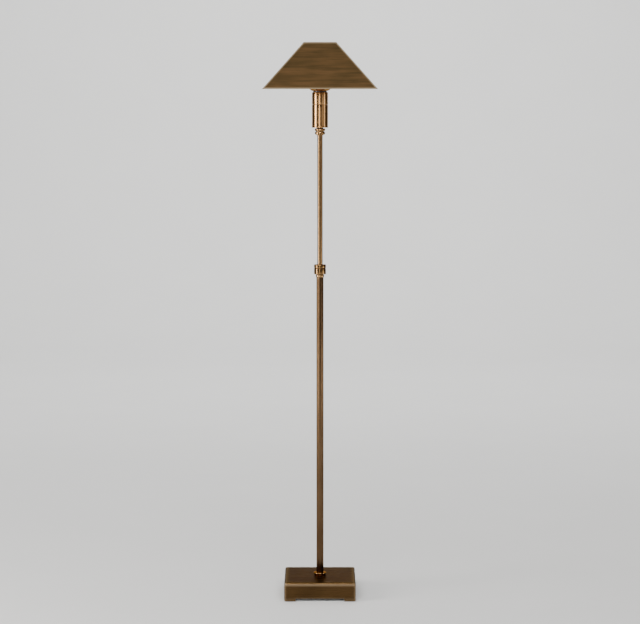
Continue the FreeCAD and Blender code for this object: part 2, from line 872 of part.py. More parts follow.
def make_socket():
    """The moulded lampholder: a stepped body, a brass screw shell and a centre contact."""
    shoulder = "dish_foot - socket_foot"
    height = "socket_top - socket_foot"
    well = "shell_radius + fixed_fit"
    turned(
        "socket_body",
        "socket_foot",
        [
            ("0", "0"),
            ("socket_radius", "0"),
            ("socket_radius", shoulder),
            ("socket_thread_radius", shoulder),
            ("socket_thread_radius", height),
            (well, height),
            (well, "socket_floor"),
            ("0", "socket_floor"),
        ],
    )
    shell_height = "socket_top - contact_foot"
    ring("screw_shell", "contact_foot", "shell_radius - shell_thickness", "shell_radius", shell_height)
    body = new_body("centre_contact", "contact_foot")
    sketch = new_sketch(body, "XY_Plane")
    draw_circle(sketch, "contact_radius")
    pad(body, sketch, "contact_height")


def make_bulb():
    """A pear-shaped bulb: a hollow glass whose cone runs tangent to its ball, on a screw cap."""
    glasses = [glass_solid(f"glass_{shrink}", shrink) for shrink in ("0", "bulb_wall")]
    keep(joined("Part::Cut", "glass", glasses), "bulb_glass")
    cap = cylinder("cap", "bulb_cap_radius", "bulb_cap_height")
    place(cap, "bulb_cap_foot")
    keep(cap, "bulb_cap")
    tip = cylinder("tip", "bulb_tip_radius", "bulb_tip_height")
    place(tip, "bulb_cap_foot - bulb_tip_height")
    keep(tip, "bulb_tip")


def glass_solid(name, shrink):
    """The bulb's glass as a solid ball and cone, a wall smaller all round when shrunk."""
    ball_radius = f"(bulb_radius - {shrink})"
    neck_radius = f"(bulb_cap_radius - {shrink})"
    rise = "(bulb_length - bulb_radius)"
    slant = f"sqrt({rise}^2 + {neck_radius}^2)"
    lean = f"(atan({rise} / {neck_radius}) - acos({ball_radius} / {slant}))"
    ball = doc.addObject("Part::Sphere", f"{name}_ball")
    bind(ball, "Radius", ball_radius)
    place(ball, f"bulb_neck + {rise}")
    cone = doc.addObject("Part::Cone", f"{name}_cone")
    bind(cone, "Radius1", neck_radius)
    bind(cone, "Radius2", f"{ball_radius} * cos({lean})")
    bind(cone, "Height", f"{rise} - {ball_radius} * sin({lean})")
    place(cone, "bulb_neck")
    return joined("Part::MultiFuse", name, [ball, cone])


# ---------------------------------------------------------------- shade
def make_shade_seat():
    """The spun dish on the lampholder's shoulder, and the nut that holds the spider down."""
    bore = "socket_thread_radius + fixed_fit"
    turned(
        "shade_dish",
        "dish_foot",
        [
            (bore, "0"),
            ("dish_flat_radius", "0"),
            ("dish_lip_radius", "dish_height - dish_sheet"),
            ("dish_lip_radius", "dish_height"),
            ("dish_lip_radius - dish_sheet", "dish_height"),
            ("dish_flat_radius", "dish_sheet"),
            (bore, "dish_sheet"),
        ],
    )
    nut_foot = "spider_foot + spider_ring_height + fixed_fit"
    nut_bore = "socket_thread_radius + thread_fit"
    ring("shade_ring_nut", nut_foot, nut_bore, "ring_nut_radius", "ring_nut_height")


def wire_place(height):
    """Half the side of the square that a wire's middle follows inside the shade."""
    lean_in = f"shade_run * ({height}) / shade_height"
    stand_off = "(shade_sheet + rim_wire_radius + fixed_fit) * shade_lean"
    return f"(shade_bottom / 2 - {lean_in} - {stand_off})"


def make_spider():
    """A ring on the dish and four bent rods that pass round the bulb to the top wire's corners."""
    body = new_body("shade_spider", "spider_foot", 45.0)
    sketch = new_sketch(body, "XY_Plane")
    draw_circle(sketch, "spider_ring_radius")
    draw_circle(sketch, "socket_thread_radius + open_gap")
    pad(body, sketch, "spider_ring_height")

    rod_foot = "spider_ring_height / 2"
    hip = ("bulb_radius + arm_clear + arm_radius", "bulb_centre - spider_foot")
    corner = (f"{wire_place('top_wire_height')} * sqrt(2)", "rim + top_wire_height - spider_foot")
    run, climb = f"({corner[0]} - ({hip[0]}))", f"({corner[1]} - ({hip[1]}))"
    share = f"(1 - (rim_wire_radius + arm_end_gap) / sqrt({run}^2 + {climb}^2))"
    end = (f"{hip[0]} + {run} * {share}", f"{hip[1]} + {climb} * {share}")
    post_top = ("arm_place", "spider_ring_height + arm_post")
    path = new_sketch(body, "XZ_Plane")
    draw_line(path, [("arm_place", rod_foot), post_top, hip, end])
    profile = new_sketch(body, "XY_Plane", rod_foot)
    draw_circle(profile, "arm_radius", "arm_place", "0")
    doc.recompute()
    rod = add_feature(body, "AdditivePipe", profile, Transition="Round corner")
    rod.Spine = (path, [f"Edge{n}" for n in range(1, 4)])
    doc.recompute()
    pattern = body.newObject("PartDesign::PolarPattern", "spider_arms")
    pattern.Originals = [rod]
    pattern.Axis = (profile, ["N_Axis"])
    pattern.Angle = ALL_ROUND
    pattern.Occurrences = len(CORNERS)
    body.Tip = pattern
    doc.recompute()


def make_panels():
    """Four flat brass panels, mitred where they are soldered along the hips."""
    thick = "(shade_sheet * shade_lean)"
    for side, turn in (("front", 0), ("right", 90), ("back", 180), ("left", 270)):
        body = new_body(f"shade_panel_{side}", "rim", turn)
        ends_of_panel = []
        for half, lift in (("(shade_bottom / 2)", "0"), ("(shade_top / 2)", "shade_height")):
            inner = f"({half} - {thick})"
            sketch = new_sketch(body, "XY_Plane", lift)
            outline = [
                (f"-{half}", f"-{half}"),
                (half, f"-{half}"),
                (inner, f"-{inner}"),
                (f"-{inner}", f"-{inner}"),
            ]
            draw_outline(sketch, outline)
            ends_of_panel.append(sketch)
        doc.recompute()
        add_feature(body, "AdditiveLoft", ends_of_panel[0], Sections=ends_of_panel[1:], Ruled=True)
        doc.recompute()


def make_wire(label, height):
    """A square of round wire inside the shade, rounded at its corners."""
    half = wire_place(height)
    pieces = []
    for turn in range(len(CORNERS)):
        rod = cylinder(f"{label}_rod", "rim_wire_radius", f"2 * {half}")
        along_x = FreeCAD.Rotation(FreeCAD.Vector(0, 1, 0), 90)
        rod.Placement.Rotation = FreeCAD.Rotation(FreeCAD.Vector(0, 0, 1), 90 * turn) * along_x
        x, y = CORNERS[(turn + 2) % len(CORNERS)]
        ball = doc.addObject("Part::Sphere", f"{label}_corner")
        bind(ball, "Radius", "rim_wire_radius")
        for piece in (rod, ball):
            bind(piece, ".Placement.Base.x", f"{half} * {x}")
            bind(piece, ".Placement.Base.y", f"{half} * {y}")
            bind(piece, ".Placement.Base.z", f"rim + {height}")
            pieces.append(piece)
    keep(joined("Part::MultiFuse", f"{label}_wire", pieces), label)


make_base_cover()
make_base_feet()
make_base_weight()
make_base_plate()
make_foot_pads()
make_pad_screws()
make_cord_bush()
make_base_fixings()
make_lower_pole()
make_clamp_body()
make_clamp_collet()
make_clamp_nut()
make_mast()
make_spool()
make_cup()
make_dimmer()
make_socket()
make_bulb()
make_shade_seat()
make_spider()
make_panels()
make_wire("shade_top_wire", "top_wire_height")
make_wire("shade_rim_wire", "rim_wire_height")
doc.recompute()

# ---------------------------------------------------------------- checks and files
for thing in doc.Objects:
    if {"Invalid", "Error"} & set(thing.State):
        raise ValueError(f"{thing.Label} failed: {thing.State}")
for part in parts:
    if part.Shape.isNull() or not part.Shape.isValid() or part.Shape.Volume < TINY:
        raise ValueError(f"{part.Label} is not a sound solid")

os.makedirs("parts", exist_ok=True)
for part in parts:
    part.Shape.exportStep(f"parts/{part.Label}.step")
print(f"{len(parts)} sub-parts written")
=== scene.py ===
import math

import bpy
import numpy as np
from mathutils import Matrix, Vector


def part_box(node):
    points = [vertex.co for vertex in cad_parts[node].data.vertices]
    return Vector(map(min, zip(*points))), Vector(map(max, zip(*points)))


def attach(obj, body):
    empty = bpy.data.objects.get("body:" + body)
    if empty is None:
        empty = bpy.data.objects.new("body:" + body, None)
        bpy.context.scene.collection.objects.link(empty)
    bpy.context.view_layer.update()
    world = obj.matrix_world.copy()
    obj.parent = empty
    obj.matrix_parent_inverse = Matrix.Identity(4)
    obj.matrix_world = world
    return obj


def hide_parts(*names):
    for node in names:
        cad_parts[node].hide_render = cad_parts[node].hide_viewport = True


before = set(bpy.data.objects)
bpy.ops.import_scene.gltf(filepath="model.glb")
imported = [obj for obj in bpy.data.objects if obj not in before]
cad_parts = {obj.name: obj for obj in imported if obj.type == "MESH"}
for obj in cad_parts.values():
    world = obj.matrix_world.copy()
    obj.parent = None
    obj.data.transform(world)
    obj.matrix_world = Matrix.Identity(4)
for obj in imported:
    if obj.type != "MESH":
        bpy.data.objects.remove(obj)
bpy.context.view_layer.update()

scene = bpy.context.scene
MM = 0.001

# ---------------------------------------------------------------- camera
# A long lens a little below the height of the shade, tilted gently down so that
# the whole lamp stands upright in the frame and the top of the base is seen.
camera_lens = 118.1
camera_back = 4.969
camera_height = 1.2132
camera_tilt = math.radians(6.0885)

camera = bpy.data.objects.new("camera", bpy.data.cameras.new("camera"))
camera.data.lens = camera_lens
camera.location = (0.0, -camera_back, camera_height)
camera.rotation_euler = (math.pi / 2 - camera_tilt, 0.0, 0.0)
scene.collection.objects.link(camera)
scene.camera = camera


# ---------------------------------------------------------------- studio
# A pale seamless sweep: level floor that curves up into a plain wall behind the lamp.
# Four tall soft boxes stand from left to right, with a small low one on the right.
# High up, one wide box lights the floor, one the wall, and a faint one the lamp's top.
class Socket:
    """A value on its way through a material; arithmetic on it makes Math nodes."""

    def __init__(self, look, out):
        self.look = look
        self.out = out

    def math(self, kind, *values):
        return self.look.node("ShaderNodeMath", {"operation": kind}, values)

    def __add__(self, other):
        return self.math("ADD", self, other)

    def __sub__(self, other):
        return self.math("SUBTRACT", self, other)

    def __mul__(self, other):
        return self.math("MULTIPLY", self, other)

    def __rsub__(self, other):
        return self.math("SUBTRACT", other, self)

    __radd__ = __add__
    __rmul__ = __mul__

    def between(self, low, high):
        """0 below low and 1 above high, with a smooth step from one to the other."""
        settings = {"interpolation_type": "SMOOTHSTEP"}
        return self.look.node("ShaderNodeMapRange", settings, (self, low, high, 0.0, 1.0))


class Look:
    """A material: one shader, and the nodes that vary it over the piece."""

    def __init__(self, name, **constants):
        self.material = bpy.data.materials.new(name)
        self.material.use_nodes = True
        self.tree = self.material.node_tree
        self.shader = self.tree.nodes["Principled BSDF"]
        self.place = self.node("ShaderNodeTexCoord", output="Object")
        for key, value in constants.items():
            self.shader.inputs[key.replace("_", " ").title()].default_value = value

    def node(self, kind, settings=None, inputs=(), output=0):
        made = self.tree.nodes.new(kind)
        for name, value in (settings or {}).items():
            setattr(made, name, value)
        pairs = inputs.items() if isinstance(inputs, dict) else enumerate(inputs)
        for key, value in pairs:
            self.put(made.inputs[key], value)
        return Socket(self, made.outputs[output])

    def put(self, socket, value):
        if isinstance(value, Socket):
            self.tree.links.new(value.out, socket)
        else:
            socket.default_value = value

    def vary(self, **values):
        for key, value in values.items():
            self.put(self.shader.inputs[key.replace("_", " ").title()], value)

    def noise(self, stretch, detail=3.0, roughness=0.55):
        """Soft noise whose grain is as many cells a metre along x, y, z as stretch says."""
        place = self.node("ShaderNodeVectorMath", {"operation": "MULTIPLY"}, (self.place, stretch))
        inputs = {"Vector": place, "Scale": 1.0, "Detail": detail, "Roughness": roughness}
        return self.node("ShaderNodeTexNoise", {}, inputs)

    def mix(self, factor, low, high):
        inputs = {0: factor, 6: low, 7: high}
        return self.node("ShaderNodeMix", {"data_type": "RGBA"}, inputs, 2)

    def wear_and_sheen_amount(self):
        """How pale the surface is painted, partly rubbed wear and partly painted highlight, as
        stored on the mesh points.
        """
        return self.node("ShaderNodeAttribute", {"attribute_name": "wear_and_sheen"}, output="Fac")

    def bump(self, height, depth):
        inputs = {"Height": height, "Distance": depth, "Strength": 1.0}
        self.vary(Normal=self.node("ShaderNodeBump", {}, inputs))


sharp_angle = math.radians(38.0)


def surface(name, points, around=True, along=True):
    """Quads over a grid of points; either way may close on itself.

    points[i, j] is joined to points[i, j+1], points[i+1, j+1] and points[i+1, j].
    """
    rows, columns = points.shape[:2]
    index = np.arange(rows * columns).reshape(rows, columns)
    if around:
        index = np.concatenate([index, index[:, :1]], 1)
    if along:
        index = np.concatenate([index, index[:1]], 0)
    corners = (index[:-1, :-1], index[:-1, 1:], index[1:, 1:], index[1:, :-1])
    quads = np.stack(corners, -1).reshape(-1, 4)
    mesh = bpy.data.meshes.new(name)
    mesh.vertices.add(rows * columns)
    mesh.vertices.foreach_set("co", points.astype(np.float32).ravel())
    mesh.loops.add(quads.size)
    mesh.loops.foreach_set("vertex_index", quads.astype(np.int32).ravel())
    mesh.polygons.add(len(quads))
    mesh.polygons.foreach_set("loop_start", np.arange(0, quads.size, 4, dtype=np.int32))
    mesh.update(calc_edges=True)
    mesh.validate()
    mesh.shade_smooth()
    mesh.set_sharp_from_angle(angle=sharp_angle)
    made = bpy.data.objects.new(name, mesh)
    scene.collection.objects.link(made)
    return made


sweep_half_width = 9.0
sweep_front = -9.0
sweep_wall = 7.0
sweep_bend = 2.5
sweep_top = 5.0
floor_gap = 0.1 * MM

turn = np.linspace(-math.pi / 2, 0.0, 24)
bend_y = sweep_wall - sweep_bend + sweep_bend * np.cos(turn)
bend_z = sweep_bend + sweep_bend * np.sin(turn)
sweep_y = np.concatenate([[sweep_front], bend_y, [sweep_wall]])
sweep_z = np.concatenate([[0.0], bend_z, [sweep_top]]) - floor_gap
sweep_x = np.array([-sweep_half_width, sweep_half_width])
sweep_points = np.stack(
    [
        np.broadcast_to(sweep_x, (len(sweep_y), 2)),
        np.broadcast_to(sweep_y[:, None], (len(sweep_y), 2)),
        np.broadcast_to(sweep_z[:, None], (len(sweep_y), 2)),
    ],
    -1,
)
sweep = surface("studio_sweep", sweep_points, around=False, along=False)
paper = Look("pale_paper", roughness=0.85)
fibre = paper.noise((3.0, 3.0, 3.0))
paper.vary(base_color=paper.mix(fibre, (0.70, 0.70, 0.69, 1.0), (0.74, 0.74, 0.73, 1.0)))
sweep.data.materials.append(paper.material)


def soft_box(name, bearing, distance, height, size, watts, warmth=1.0, aim_at=(0.0, 0.0, 0.75)):
    """An area light at a bearing round the lamp, 0 being the camera's side, turned to a point."""
    light = bpy.data.lights.new(name, "AREA")
    light.shape = "RECTANGLE"
    light.size, light.size_y = size
    light.energy = watts
    light.color = (1.0, warmth, warmth * warmth)
    lamp = bpy.data.objects.new(name, light)
    angle = math.radians(bearing)
    lamp.location = (distance * math.sin(angle), -distance * math.cos(angle), height)
    aim = Vector(aim_at) - lamp.location
    lamp.rotation_euler = aim.to_track_quat("-Z", "Y").to_euler()
    scene.collection.objects.link(lamp)


soft_box("left_box", -67.0, 2.6, 1.0, (0.75, 1.9), 74.0, 0.97)
soft_box("centre_box", -9.0, 3.6, 1.0, (0.62, 1.9), 22.0, 0.97)
soft_box("fill_box", 39.0, 3.6, 1.0, (1.1, 1.9), 4.6, 0.97)
soft_box("right_box", 68.0, 2.9, 1.0, (0.7, 1.9), 11.5, 0.97)
soft_box("low_right_box", 70.0, 2.7, 0.31, (0.6, 0.5), 8.0, 0.97)
soft_box("front_box", 0.0, 4.6, 3.6, (4.5, 1.6), 420.0, aim_at=(0.0, 0.6, 0.0))
soft_box("wall_box", 180.0, 2.6, 4.6, (6.0, 1.6), 420.0, aim_at=(0.0, 6.6, 1.0))
soft_box("top_box", 0.0, 0.5, 3.4, (1.6, 1.6), 3.6, aim_at=(0.0, -0.4, 0.0))

scene.world = bpy.data.worlds.new("dim_room")
scene.world.use_nodes = True
room = scene.world.node_tree.nodes["Background"]
room.inputs["Color"].default_value = (0.060, 0.059, 0.057, 1.0)
room.inputs["Strength"].default_value = 1.0


# ---------------------------------------------------------------- base cover
# A square sheet brass cover, brushed and aged dark. Its top edge and corners are
# rounded, and it stands on four bracket feet brazed flush below it. Its edges are
# painted pale, partly as rubbed wear and partly as painted highlight, with a painted
# glint where the top edge meets the upright corners.
def dress(look, *names):
    """Gives carried-over nodes of the frame this look."""
    for name in names:
        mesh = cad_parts[name].data
        mesh.materials.clear()
        mesh.materials.append(look.material)


def shown(piece, look, body, slot, *nodes):
    """Finishes a new piece: its look, the body it rides on and the nodes it stands for."""
    piece.data.materials.append(look.material)
    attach(piece, body)
    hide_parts(*nodes)


corner_steps = 9


def square_ring(half, corner, stations):
    """Once round a square with rounded corners.

    Side k runs along its stations, then a quarter circle of radius corner follows about
    the point half - corner from both axes; each side is the one before turned 90 degrees.
    """
    reach = half - corner
    angle = np.linspace(0.0, math.pi / 2, corner_steps)
    side = np.stack([np.full_like(stations, half), stations], -1)
    bend = np.stack([reach + corner * np.cos(angle), reach + corner * np.sin(angle)], -1)
    quarter = np.concatenate([side, bend])
    x, y = quarter[:, 0], quarter[:, 1]
    turns = [(x, y), (-y, x), (-x, -y), (y, -x)]
    return np.concatenate([np.stack(turned_side, -1) for turned_side in turns])


cover_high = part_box("base_cover")[1]
feet_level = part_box("base_feet")[0].z
cover_half = cover_high.x
cover_corner = 5.5 * MM
cover_edge = 4.2 * MM
cover_wall = 2.0 * MM
cover_hole = 5.3 * MM
foot_width = 27.0 * MM
apron_level = 7.5 * MM
apron_curve = 3.5 * MM
skirt_top = 11.0 * MM
side_slope = 0.02 * MM
foot_start = 3 * MM
corner_gap = 1e-4

opening_half = cover_half - foot_width
run = opening_half - apron_curve
curve_places = run + apron_curve * np.sin(np.linspace(0.0, math.pi / 2, 9))
level_places = np.linspace(0.0, run, 12)[1:-1]
foot_end = cover_half - cover_corner - corner_gap
foot_places = np.linspace(opening_half + foot_start, foot_end, 6)
half_side = np.concatenate([level_places, curve_places, [opening_half + side_slope], foot_places])
stations = np.concatenate([-half_side[::-1], [0.0], half_side])


def skirt_foot(ring):
    """Height of the skirt's lower edge: level over the opening, a quarter circle, the foot."""
    across = np.minimum(np.abs(ring[:, 0]), np.abs(ring[:, 1]))
    into = np.clip(across - run, 0.0, apron_curve)
    curve = apron_level - (apron_curve - np.sqrt(np.maximum(apron_curve**2 - into**2, 0.0)))
    return np.where(across > opening_half + side_slope / 2, feet_level, curve)


outer_ring = square_ring(cover_half, cover_corner, stations)
foot = skirt_foot(outer_ring)
lip = cover_wall / 2
cover_rows = []


def level_row(ring, level):
    """Adds one level ring to the cover."""
    cover_rows.append((ring, np.full(len(foot), level)))


for angle in np.linspace(math.pi, 2 * math.pi, 7):
    inset = lip - lip * math.cos(angle)
    ring = square_ring(cover_half - inset, cover_corner - inset, stations)
    cover_rows.append((ring, foot + lip + lip * math.sin(angle)))
for level in np.linspace(skirt_top, cover_high.z - cover_edge, 6):
    level_row(outer_ring, level)
for angle in np.linspace(0.0, math.pi / 2, 9)[1:]:
    inset = cover_edge - cover_edge * math.cos(angle)
    level = cover_high.z - cover_edge + cover_edge * math.sin(angle)
    ring = square_ring(cover_half - inset, cover_corner - inset, stations)
    level_row(ring, level)
top_ring = cover_rows[-1][0]
bearing = np.arctan2(outer_ring[:, 1], outer_ring[:, 0])
hole_ring = cover_hole * np.stack([np.cos(bearing), np.sin(bearing)], -1)
for share in np.linspace(0.0, 1.0, 12)[1:]:
    level_row((1 - share) * top_ring + share * hole_ring, cover_high.z)
inner_top = cover_high.z - cover_wall
inner_ring = square_ring(cover_half - cover_wall, cover_corner - cover_wall, stations)
for share in np.linspace(1.0, 0.0, 8):
    level_row((1 - share) * inner_ring + share * hole_ring, inner_top)
level_row(inner_ring, skirt_top)

cover_points = np.stack([np.concatenate([ring, z[:, None]], 1) for ring, z in cover_rows])
base_cover = surface("base_cover_shell", cover_points)


def add_wear_and_sheen(piece, amount):
    """Stores how pale each point is painted, 0 to 1, for the material to read: rubbed wear and
    painted highlight.
    """
    wear_and_sheen = piece.data.attributes.new("wear_and_sheen", "FLOAT", "POINT")
    wear_and_sheen.data.foreach_set("value", amount.astype(np.float32).ravel())


flat = 0.5 * MM
bevel_width = 0.7 * MM
top_line_width = 0.9 * MM
rim_width = 2.0 * MM
upright_width = 3.2 * MM

side_x = np.abs(cover_points[:, :, 0])
side_y = np.abs(cover_points[:, :, 1])
edge_depth = cover_high.z - cover_points[:, :, 2]
beside = cover_half - np.maximum(side_x, side_y)
# Painted pale lines, partly rubbed wear and partly painted highlight, along the top bevel, the
# skirt's lower edge and the upright corners.
bevel_wear_and_sheen = np.exp(-(((edge_depth - cover_edge) / bevel_width) ** 2)) * (beside < flat)
bevel_wear_and_sheen += 0.6 * np.exp(-(((beside - cover_edge) / top_line_width) ** 2)) * (edge_depth < flat)
skirt_rim_wear_and_sheen = np.clip(1 - (cover_points[:, :, 2] - foot[None, :]) / rim_width, 0, 1)
upright_gap = cover_half - np.minimum(side_x, side_y)
upright_wear_and_sheen = np.exp(-((upright_gap / upright_width) ** 2)) * (beside < cover_corner)
# A painted glint where the top bevel meets the upright corners.
painted_corner_glint = upright_wear_and_sheen * np.exp(-((edge_depth / cover_edge) ** 2))
add_wear_and_sheen(base_cover, np.clip(0.6 * bevel_wear_and_sheen + 0.5 * skirt_rim_wear_and_sheen + 0.6 * upright_wear_and_sheen + painted_corner_glint, 0, 1))


def brushed_brass(name, across, dark, light, roughness):
    """Aged brass brushed along x: olive and red-brown clouds under fine level streaks."""
    look = Look(name, metallic=1.0, specular_tint=(0.39, 0.36, 0.325, 1.0))
    cloud = look.noise((9.0, 9.0, 16.0), 3.0)
    streak = look.noise((5.0, across, across), 4.0, 0.65)
    hair = look.noise((14.0, across * 3, across * 3), 3.0, 0.6)
    rubbed_and_sheen = look.wear_and_sheen_amount()
    tone = cloud.between(0.32, 0.68) * 0.65 + streak * 0.5 - 0.08
    # Marked points turn pale: partly rubbed wear, partly painted highlight.
    look.vary(
        base_color=look.mix(rubbed_and_sheen, look.mix(tone, dark, light), (0.34, 0.25, 0.155, 1.0)),
        roughness=roughness + streak * 0.10 - cloud * 0.04,
    )
    look.bump(hair * 0.5 + streak * 0.5, 0.00003)
    return look


base_look = brushed_brass(
    "brushed_brass_base", 420.0, (0.043, 0.024, 0.009, 1.0), (0.080, 0.044, 0.017, 1.0), 0.25
)
shown(base_cover, base_look, "base", "brushed_brass", "base_cover", "base_feet")


# ---------------------------------------------------------------- inside and under the base
# A cast iron weight on a zinc-plated steel plate, held by pan-head screws through
# four rubber pads; the stud, washer and nut draw the pole down on to the cover.
iron = Look("cast_iron", metallic=0.6)
sand = iron.noise((420.0, 420.0, 420.0), 4.0)
iron.vary(
    base_color=iron.mix(sand, (0.020, 0.019, 0.018, 1.0), (0.055, 0.050, 0.045, 1.0)),
    roughness=0.62 + sand * 0.25,
)
iron.bump(sand, 0.0002)
dress(iron, "base_weight")

zinc = Look("zinc_steel", metallic=1.0)
spangle = zinc.noise((240.0, 240.0, 240.0), 2.0)
zinc.vary(
    base_color=zinc.mix(spangle, (0.42, 0.43, 0.45, 1.0), (0.60, 0.61, 0.62, 1.0)),
    roughness=0.30 + spangle * 0.16,
)
dress(zinc, "base_plate", "base_stud", "stud_washer", "stud_nut", "pad_screws", "bush_clips")
dress(zinc, "cup_lock_nut", "socket_cap", "centre_contact", "bulb_tip")

black_steel = Look("blackened_steel", metallic=0.8)
oxide = black_steel.noise((260.0, 260.0, 260.0), 3.0)
black_steel.vary(
    base_color=black_steel.mix(oxide, (0.020, 0.013, 0.009, 1.0), (0.050, 0.032, 0.020, 1.0)),
    roughness=0.45 + oxide * 0.15,
)
dress(black_steel, "neck_washer")

rubber = Look("black_rubber", metallic=0.0)
bloom = rubber.noise((300.0, 300.0, 300.0), 3.0)
rubber.vary(
    base_color=rubber.mix(bloom, (0.012, 0.012, 0.012, 1.0), (0.030, 0.030, 0.029, 1.0)),
    roughness=0.70 + bloom * 0.2,
)
dress(rubber, "foot_pads")

plastic = Look("black_plastic", metallic=0.0)
grain = plastic.noise((700.0, 700.0, 700.0), 2.0)
plastic.vary(
    base_color=plastic.mix(grain, (0.014, 0.014, 0.015, 1.0), (0.026, 0.026, 0.027, 1.0)),
    roughness=0.36 + grain * 0.14,
)
plastic.bump(grain, 0.00002)
dress(plastic, "cord_bush", "dimmer_module", "dimmer_rotor")

phenolic = Look("dark_phenolic", metallic=0.0)
swirl = phenolic.noise((110.0, 110.0, 110.0), 3.0)
phenolic.vary(
    base_color=phenolic.mix(swirl, (0.018, 0.006, 0.003, 1.0), (0.040, 0.014, 0.006, 1.0)),
    roughness=0.30 + swirl * 0.12,
)
dress(phenolic, "socket_body")


# ---------------------------------------------------------------- lower pole
# A drawn brass tube, lacquered over its age, in a turned ferrule that sits on the
# cover, with a turned ring near its top. All three are soldered together.
# The brass looks below carry painted light and shade: their tones are set part by part to how
# bright each part looks, darkest on the pole and brightest on the cup.
def polished_brass(name, dark, light, roughness):
    """Aged polished brass: soft tarnish clouds and faint drawing lines along z."""
    look = Look(name, metallic=1.0, coat_roughness=0.12, specular_tint=(0.42, 0.28, 0.18, 1.0))
    cloud = look.noise((34.0, 34.0, 10.0), 3.0)
    line = look.noise((180.0, 180.0, 6.0), 2.0)
    smudge = look.noise((60.0, 60.0, 12.0), 2.0)
    tone = cloud.between(0.30, 0.70) * 0.75 + line * 0.25
    look.vary(
        base_color=look.mix(tone, dark, light),
        roughness=roughness + smudge * 0.015,
        coat_weight=0.03 + smudge * 0.02,
    )
    return look


round_steps = 6
lathe_columns = 96


def outline(corners):
    """A closed outline with its corners rounded.

    Corner k becomes the arc of radius R that touches both its sides; the arc's ends lie
    R / tan(half the corner's angle) from the corner and its centre R / sin(half) away.
    """
    corner = np.array(corners, float)
    point, radius = corner[:, :2], corner[:, 2:]
    back = np.roll(point, 1, 0) - point
    ahead = np.roll(point, -1, 0) - point
    back /= np.linalg.norm(back, axis=1, keepdims=True)
    ahead /= np.linalg.norm(ahead, axis=1, keepdims=True)
    half = np.arccos(np.clip((back * ahead).sum(1, keepdims=True), -1, 1)) / 2
    middle = (back + ahead) / np.linalg.norm(back + ahead, axis=1, keepdims=True)
    centre = point + middle * radius / np.sin(half)
    start = point + back * radius / np.tan(half) - centre
    end = point + ahead * radius / np.tan(half) - centre
    share = np.linspace(0.0, 1.0, round_steps)[None, :, None]
    bend = (math.pi - 2 * half)[:, None]
    leaving = np.sin((1 - share) * bend) * start[:, None]
    arriving = np.sin(share * bend) * end[:, None]
    arc = (leaving + arriving) / np.sin(bend)
    return (centre[:, None] + arc).reshape(-1, 2)


def turned(name, corners):
    """A piece turned on a lathe: outline point (r, z) becomes (r cos a, r sin a, z).

    corners lists (radius, height, rounding) in millimetres, anticlockwise from the bore's foot.
    """
    r, z = outline(corners).T * MM
    a = np.linspace(0.0, 2 * math.pi, lathe_columns, endpoint=False)
    height = np.broadcast_to(z[:, None], (len(r), lathe_columns))
    points = np.stack([r[:, None] * np.cos(a), r[:, None] * np.sin(a), height], -1)
    return surface(name, points)


def levels(node):
    """Radius, foot and top of a turned node, in millimetres."""
    low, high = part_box(node)
    return high.x / MM, low.z / MM, high.z / MM


pole_radius, pole_foot, pole_top = levels("lower_tube")
pole_wall = 1.25
fit = 0.02
pole_bore = pole_radius - pole_wall
pole_seat = pole_radius + fit
lower_tube = turned(
    "lower_tube_drawn",
    [
        (pole_bore, pole_foot, 0.1),
        (pole_radius, pole_foot, 0.1),
        (pole_radius, pole_top, 0.3),
        (pole_bore, pole_top, 0.3),
    ],
)
# Painted shade: the pole's brass tones are set darkest of all.
pole_look = polished_brass(
    "aged_brass_pole", (0.074, 0.042, 0.020, 1.0), (0.116, 0.070, 0.036, 1.0), 0.19
)
shown(lower_tube, pole_look, "base", "polished_brass", "lower_tube")

ferrule_radius, ferrule_foot, ferrule_top = levels("pole_ferrule")
ferrule_step = 1.4
ferrule_bead = 2.0
bead_under = 2.6
ferrule = turned(
    "pole_ferrule_turned",
    [
        (pole_seat, ferrule_foot, 0.1),
        (ferrule_radius - ferrule_step, ferrule_foot, 0.2),
        (ferrule_radius - ferrule_step, ferrule_top - bead_under, 0.5),
        (ferrule_radius, ferrule_top - ferrule_bead, 0.5),
        (ferrule_radius, ferrule_top, 1.0),
        (pole_seat, ferrule_top, 0.2),
    ],
)
# Painted light and shade: the fittings' brass tones are set between the pole's and the cup's.
fitting_look = polished_brass(
    "aged_brass_fitting", (0.24, 0.134, 0.054, 1.0), (0.40, 0.240, 0.106, 1.0), 0.17
)
shown(ferrule, fitting_look, "base", "polished_brass", "pole_ferrule")

ring_radius, ring_foot, ring_top = levels("tube_top_ring")
tube_ring = turned(
    "tube_top_ring_turned",
    [
        (pole_seat, ring_foot, 0.1),
        (ring_radius, ring_foot, 0.9),
        (ring_radius, ring_top, 0.9),
        (pole_seat, ring_top, 0.1),
    ],
)
shown(tube_ring, fitting_look, "base", "polished_brass", "tube_top_ring")


# ---------------------------------------------------------------- twist lock
# Two turned brass halves with a fine groove between them. The lower one is fixed
# to the pole, and the upper one turns to squeeze a slotted collet on the mast.
body_radius, body_foot, body_top = levels("clamp_body")
nut_radius, nut_foot, nut_top = levels("clamp_nut")
mast_radius, mast_foot, mast_top = levels("mast_tube")
lock_neck = 10.6
lock_groove = 0.5
neck_gap = 0.2
mast_gap = 0.3
nut_lip = 1.8
nut_recess = 2.4

clamp_body = turned(
    "clamp_body_turned",
    [
        (pole_seat, body_foot, 0.1),
        (body_radius, body_foot, 1.4),
        (body_radius, nut_foot - lock_groove, 1.2),
        (lock_neck, nut_foot - lock_groove, 0.2),
        (lock_neck, body_top, 0.3),
        (pole_seat, body_top, 0.1),
    ],
)
# Painted shade: the lock's brass tones are set darker than the fittings'.
lock_look = polished_brass(
    "aged_brass_lock", (0.12, 0.065, 0.024, 1.0), (0.22, 0.126, 0.052, 1.0), 0.16
)
shown(clamp_body, lock_look, "base", "polished_brass", "clamp_body")

